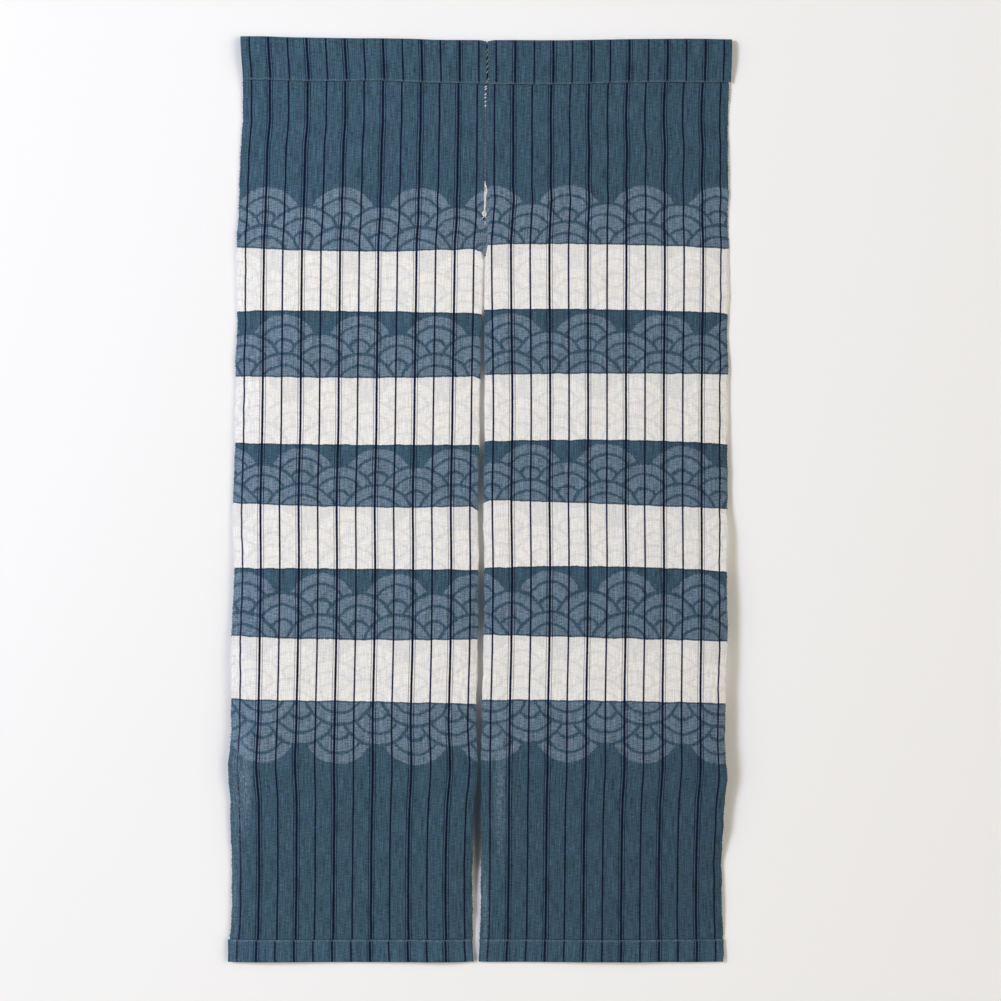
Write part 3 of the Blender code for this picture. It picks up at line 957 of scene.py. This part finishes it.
def cotton_material():
    """Hand-woven, hand-dyed cotton: matt, with a broken grain of warp and weft and uneven dye.

    The real threads are 0.5 mm apart, too fine to show, so their grain is drawn at about 1.5 mm.
    """
    material, put = new_material("Hand-woven striped cotton")
    own = put("UVMap", uv_map="Cloth")
    place = put("VectorMath", own, named={"Scale": 1000.0}, operation="SCALE")
    split = put("SeparateXYZ", place)
    wide, fine, triple = warp_stripes(put, place, (split, "X"))
    count, white, line, across = band_masks(put, place)
    scales = scale_waves(put, place, count, across)

    # Warp threads show as long streaks, weft threads as short bars, slubs and dye as specks and clouds
    warp = marks(put, place, 1.4, 34, 2.0)
    weft = marks(put, place, 11, 1.4)
    specks = marks(put, place, 1.4, 1.6)
    tints = marks(put, place, 3.2, 14, 2.0)
    heather = put("Math", specks, weft, operation="ADD")
    heather = put("MapRange", heather, 0.75, 1.25, 0.0, 1.0)
    streaks = put("MapRange", warp, 0.3, 0.7, 0.0, 1.0)
    tinted = put("MapRange", tints, 0.35, 0.65, 0.0, 1.0)

    tones = {}
    for name, threads in (("deep", streaks), ("washed", heather), ("bare", streaks)):
        dark, light, first_tint, second_tint, share = CLOTH_TONES[name]
        tone = put("Mix", threads, dark, light)
        tint = put("Mix", tinted, first_tint, second_tint)
        tones[name] = put("Mix", share, tone, tint)
    blue = put("Mix", scales, tones["deep"], tones["washed"])
    line_share = put("Math", line, 0.7)
    blue = put("Mix", line_share, blue, "#2d3e4f")

    ghost = put("Math", 1.0, scales, operation="SUBTRACT")
    ghost = put("Math", ghost, 0.42)
    bare = put("Mix", ghost, tones["bare"], "#d0d0cf")
    ground = put("Mix", white, blue, bare)

    fine_colour = put("Mix", white, "#0c1a36", "#95949b")
    fine_share = put("Math", fine, 0.95)
    ground = put("Mix", fine_share, ground, fine_colour)
    single = put("Mix", white, "#0a1530", "#1d1c3f")
    thick = put("Mix", white, "#050e2b", "#0a0c2b")
    stripe = put("Mix", triple, single, thick)
    ground = put("Mix", wide, ground, stripe)

    # Rubbing takes dye off single threads first, and the pale threads also stand for painted highlight;
    # painted shade and a darkening to the right and downwards, partly uneven dye and partly painted
    # shade, darken the cloth all over
    wear_and_light = put("Attribute", attribute_name="Fade")
    glints = put("MapRange", marks(put, place, 1.3, 6), 0.48, 0.66, 0.25, 1.0)
    rubbed_and_highlit = put("Math", (wear_and_light, "Fac"), glints, use_clamp=True)
    pale_thread = put("Mix", white, "#8299a6", "#f2ede4")
    ground = put("Mix", rubbed_and_highlit, ground, pale_thread)
    # Below nought the marks are painted shade
    shaded = put("MapRange", (wear_and_light, "Fac"), -1.0, 0.0, 0.35, 1.0)
    swing = put("Math", heather, streaks, operation="ADD")
    swing = put("Math", swing, 1.0, operation="SUBTRACT")
    contrast = put("Mix", white, 0.62, 0.18, data_type="FLOAT")
    shade = put("Math", swing, contrast, 1.0, operation="MULTIPLY_ADD")
    shade = put("Math", shade, shaded)
    place_in_space = put("SeparateXYZ", (put("TexCoord"), "Object"))
    # Darker to the right and downwards: partly uneven dye, partly painted shade
    for axis, start, end, blue_ends, white_ends in DYE_AND_LIGHT_FALLOFF:
        blue_darkening = put("MapRange", (place_in_space, axis), start, end, *blue_ends)
        white_darkening = put("MapRange", (place_in_space, axis), start, end, *white_ends)
        shade = put("Math", shade, put("Mix", white, blue_darkening, white_darkening, data_type="FLOAT"))
    folded_up = put("MapRange", (split, "Y"), FOOT / MM, FOOT / MM + 3, 1.0, 1.14)
    shade = put("Math", shade, folded_up)
    shade = put("CombineColor", shade, shade, shade)
    colour = put("Mix", 1.0, ground, shade, blend_type="MULTIPLY")

    weave = put("Math", warp, 0.8, specks, operation="MULTIPLY_ADD")
    weave = put("Math", weft, 0.7, weave, operation="MULTIPLY_ADD")
    bump = put("Bump", named={"Strength": 0.6, "Distance": 0.35 * MM, "Height": weave})
    rough = put("MapRange", specks, 0.2, 0.8, 0.82, 0.94)
    shader = put("BsdfPrincipled", named={
        "Base Color": colour, "Roughness": rough, "Normal": bump,
        "Sheen Weight": 0.06, "Sheen Roughness": 0.6, "Specular IOR Level": 0.08})
    put("OutputMaterial", shader)
    return material


def thread_material(name, colour, dark, stain):
    """Twisted cotton sewing thread: matt, with painted shade between its turns, and stained by dye here
    and there.

    The real turns are 0.4 mm apart and are drawn at 1.2 mm, so that they show.
    """
    material, put = new_material(name)
    place = put("TexCoord")
    twist = put("TexNoise", (place, "Object"), named={"Scale": 1 / (1.2 * MM), "Detail": 1.0})
    patches = put("TexNoise", (place, "Object"), named={"Scale": 1 / (22 * MM), "Detail": 1.0})
    stained = put("MapRange", patches, 0.42, 0.54, 0.0, 0.85, **SOFT_STEP)
    # The dark colour between the turns is painted shade
    turns = put("MapRange", twist, 0.35, 0.65, 0.0, 1.0, **SOFT_STEP)
    tone = put("Mix", turns, dark, colour)
    tone = put("Mix", stained, tone, stain)
    bump = put("Bump", named={"Strength": 0.4, "Distance": 0.2 * MM, "Height": twist})
    shader = put("BsdfPrincipled", named={
        "Base Color": tone, "Roughness": 0.8, "Normal": bump, "Sheen Weight": 0.1})
    put("OutputMaterial", shader)
    return material


# Stage: a pale wall close behind the cloth, which is clear when seen from behind

WALL_BEHIND = 4.8 * MM
WALL_REACH = 6.0


def wall_material():
    """Matt paint on the front, nothing on the back, so that the cloth also shows from behind."""
    material, put = new_material("Matt wall paint")
    facing = put("NewGeometry")
    paint = put("BsdfPrincipled", named={
        "Base Color": "#f4f3f1", "Roughness": 0.95, "Specular IOR Level": 0.1})
    clear = put("BsdfTransparent")
    both = put("MixShader", (facing, "Backfacing"), paint, clear)
    put("OutputMaterial", both)
    return material


def make_wall():
    """A square that faces the viewer (-Y) and throws no shadow on the cloth's back."""
    corners = np.array([(-1, 0, -1), (1, 0, -1), (1, 0, 1), (-1, 0, 1)]) * WALL_REACH
    corners[:, 1] = WALL_BEHIND
    mesh = bpy.data.meshes.new("wall")
    mesh.from_pydata(corners, [], [(0, 1, 2, 3)])
    mesh.materials.append(wall_material())
    wall = add_to_scene("wall", mesh)
    wall.visible_shadow = False


# Light and camera

MM_A_PIXEL = 1.621
PICTURE_PIXELS = 1001
JOIN_PIXEL = 487
TOP_PIXEL = 36.5
CAMERA_DISTANCE = 3.6
SENSOR_MM = 36.0
VIEW_CENTRE = ((PICTURE_PIXELS / 2 - JOIN_PIXEL) * MM_A_PIXEL * MM, 0.0,
               (TOP_PIXEL - PICTURE_PIXELS / 2) * MM_A_PIXEL * MM)


def make_camera():
    """Looks straight at the cloth, with the top of the join where the photograph has it."""
    camera_data = bpy.data.cameras.new("camera")
    camera_data.sensor_width = SENSOR_MM
    camera_data.lens = SENSOR_MM * CAMERA_DISTANCE / (PICTURE_PIXELS * MM_A_PIXEL * MM)
    camera = add_to_scene("camera", camera_data)
    camera.location = (VIEW_CENTRE[0], -CAMERA_DISTANCE, VIEW_CENTRE[2])
    camera.rotation_euler = (math.pi / 2, 0, 0)
    bpy.context.scene.camera = camera


def add_light(name, place, size, power, colour):
    """A round lamp, turned so that it shines on the middle of the picture."""
    light = bpy.data.lights.new(name, "AREA")
    light.shape = "DISK"
    light.size = size
    light.energy = power
    light.color = linear(colour)[:3]
    lamp = add_to_scene(name, light)
    lamp.location = place
    away = lamp.location - type(lamp.location)(VIEW_CENTRE)
    lamp.rotation_euler = away.to_track_quat("Z", "Y").to_euler()


WORLD_AHEAD = 0.02
WORLD_SIDES = 21.5
WORLD_LEAN = 0.25
WORLD_BEHIND = 0.20


def make_lights():
    """A cool key from the left, a weak light from behind, and warm light from both sides.

    With x the way to the side and y the way ahead, the warm light is x^4 * y^2, so it is strongest at
    55 degrees and weak straight ahead and along the wall. It leans to the right a little, and is weaker
    behind the cloth, where a wall would stand.
    """
    add_light("key", (-4.6, -4.6, 0.9), 1.8, 284, "#d9e4ff")
    add_light("rear", (1.6, 2.8, 0.6), 2.0, 55, "#ffffff")
    world = bpy.data.worlds.new("Soft studio")
    world.use_nodes = True
    world.node_tree.nodes.clear()
    put = partial(add_node, world.node_tree)
    direction = put("TexCoord")
    split = put("SeparateXYZ", (direction, "Generated"))
    sideways = put("Math", (split, "X"), (split, "X"))
    sideways = put("Math", sideways, (split, "Y"))
    sideways = put("Math", sideways, sideways)
    lean = put("Math", (split, "X"), WORLD_LEAN, 1.0, operation="MULTIPLY_ADD")
    sideways = put("Math", sideways, lean)
    strength = put("Math", sideways, WORLD_SIDES, WORLD_AHEAD, operation="MULTIPLY_ADD")
    behind = put("MapRange", (split, "Y"), -0.1, 0.6, 1.0, WORLD_BEHIND)
    strength = put("Math", strength, behind)
    background = put("Background", "#fff8ea", strength)
    put("OutputWorld", background)
    bpy.context.scene.world = world


def main():
    make_camera()
    cotton = cotton_material()
    pale_thread = thread_material("Undyed cotton thread", "#fbf9f6", "#ddd5d1", "#efe8e3")
    warm_thread = thread_material("Waxed cotton thread", "#c9c3b0", "#6b675c", "#8d8a77")
    stained_thread = thread_material("Dye-stained cotton thread", "#86747e", "#544a5a", "#7482a0")
    blue_thread = thread_material("Blue cotton thread", "#64798a", "#3a4d5e", "#3d5466")
    surfaces = {}
    for panel in PANELS:
        piece, points, along = make_panel(panel, cotton)
        surfaces[panel] = (points, along)
        loops = make_selvedge_loops(panel, points, along, cotton)
        heading = make_slip_stitches(panel + "_heading_stitches", points, along, -HEADING_DEPTH,
                                     9 * MM, blue_thread)
        hem = make_slip_stitches(panel + "_hem_stitches", points, along, HEM_FOLD, 10 * MM, blue_thread)
    for name, thread in zip(JOIN_ROWS, (warm_thread, pale_thread, stained_thread, warm_thread)):
        make_join_stitches(name, surfaces, thread)
    make_loose_thread(surfaces, pale_thread)
    make_wall()
    make_lights()
    bpy.context.scene.view_settings.view_transform = "Standard"


main()
